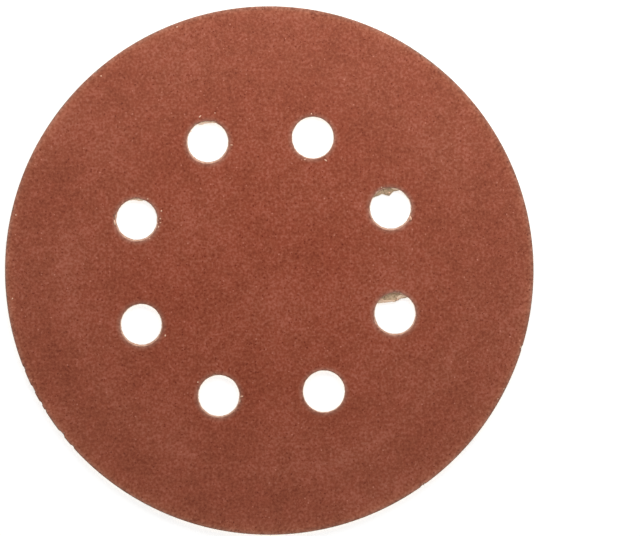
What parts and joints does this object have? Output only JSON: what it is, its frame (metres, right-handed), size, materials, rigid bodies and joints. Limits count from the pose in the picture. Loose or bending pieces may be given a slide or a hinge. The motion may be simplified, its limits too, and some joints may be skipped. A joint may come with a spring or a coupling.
{
  "type": "hook and loop sanding disc",
  "caption": "Round laminated sanding disc: red-brown grain on paper, looped fabric underneath and a ring of dust holes, for the hook-faced pad of an orbital sander.",
  "frame": {"origin": "centre of the disc's outline, on the surface that its looped face lies on", "axes": "+Z along the disc's axis, out of the abrasive face; the first dust hole lies 25 degrees anticlockwise from +X"},
  "size_m": [0.125, 0.125, 0.0012],
  "materials": {
    "abrasive_grain": "matt, fine red-brown grain and resin on paper",
    "backing_paper": "uncoated cut edge",
    "looped_knit": "cream looped knit"
  },
  "bodies": {
    "root": {"abrasive_paper": "abrasive_grain", "loop_fabric": "looped_knit"}
  },
  "joints": []
}
